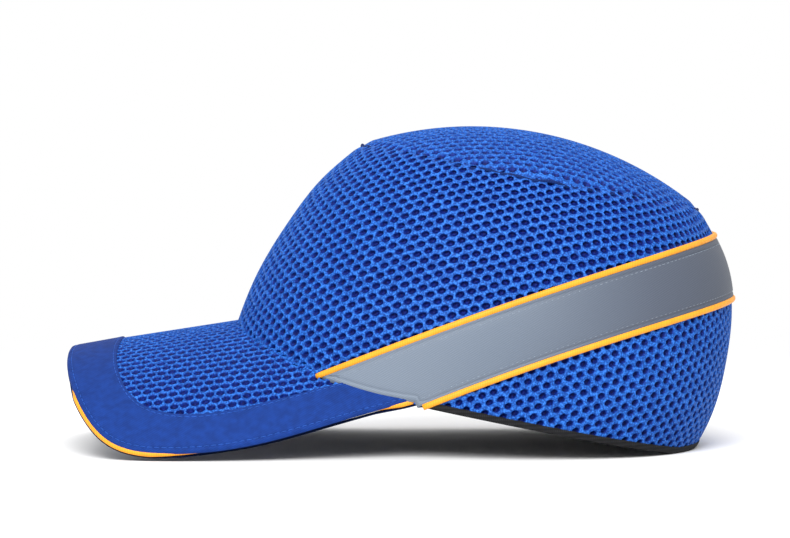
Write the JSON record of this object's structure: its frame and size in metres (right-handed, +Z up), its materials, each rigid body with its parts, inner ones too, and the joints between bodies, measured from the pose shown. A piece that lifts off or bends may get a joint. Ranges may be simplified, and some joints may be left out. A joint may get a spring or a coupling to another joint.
{
  "type": "bump cap",
  "caption": "Peaked bump cap of blue spacer mesh with a grey reflective band between orange pipings, over a lift-out impact shell with foam pads.",
  "frame": {"origin": "middle of the cap's box at the surface it stands on", "axes": "+X from peak to nape, +Y to the wearer's right, +Z up"},
  "size_m": [0.2845, 0.1738, 0.1359],
  "materials": {
    "blue_mesh": "matte",
    "blue_twill": "matte",
    "reflective_grey": "satin",
    "orange_piping": "satin",
    "black_tape": "matte",
    "black_towelling": "matte",
    "peak_board": "matte",
    "black_shell": "satin",
    "foam": "matte",
    "loop_tape": "matte",
    "hook_tape": "matte"
  },
  "bodies": {
    "cap": {"crown_wall_panel": "blue_mesh", "crown_top_panel": "blue_mesh", "nape_panel": "blue_mesh", "peak_mesh_insert": "blue_mesh", "reflective_band": "reflective_grey", "band_piping_upper": "orange_piping", "band_piping_lower": "orange_piping", "peak_edge_piping": "orange_piping", "hem_binding": "black_tape", "nape_elastic": "black_tape", "top_seam_tape": "black_tape", "sweatband": "black_towelling", "peak_border": "blue_twill", "peak_underside": "blue_twill", "peak_core": "peak_board", "loop_patches": "loop_tape"},
    "insert": {"bump_shell": "black_shell", "hook_patches": "hook_tape", "crown_pad": "foam", "front_pad": "foam", "rear_pad": "foam", "side_pad_left": "foam", "side_pad_right": "foam"}
  },
  "joints": [
    {"name": "insert_removal", "type": "slide", "parent": "cap", "child": "insert", "axis": [-0.342, 0, -0.9397], "range_m": [0, 0.15]}
  ]
}
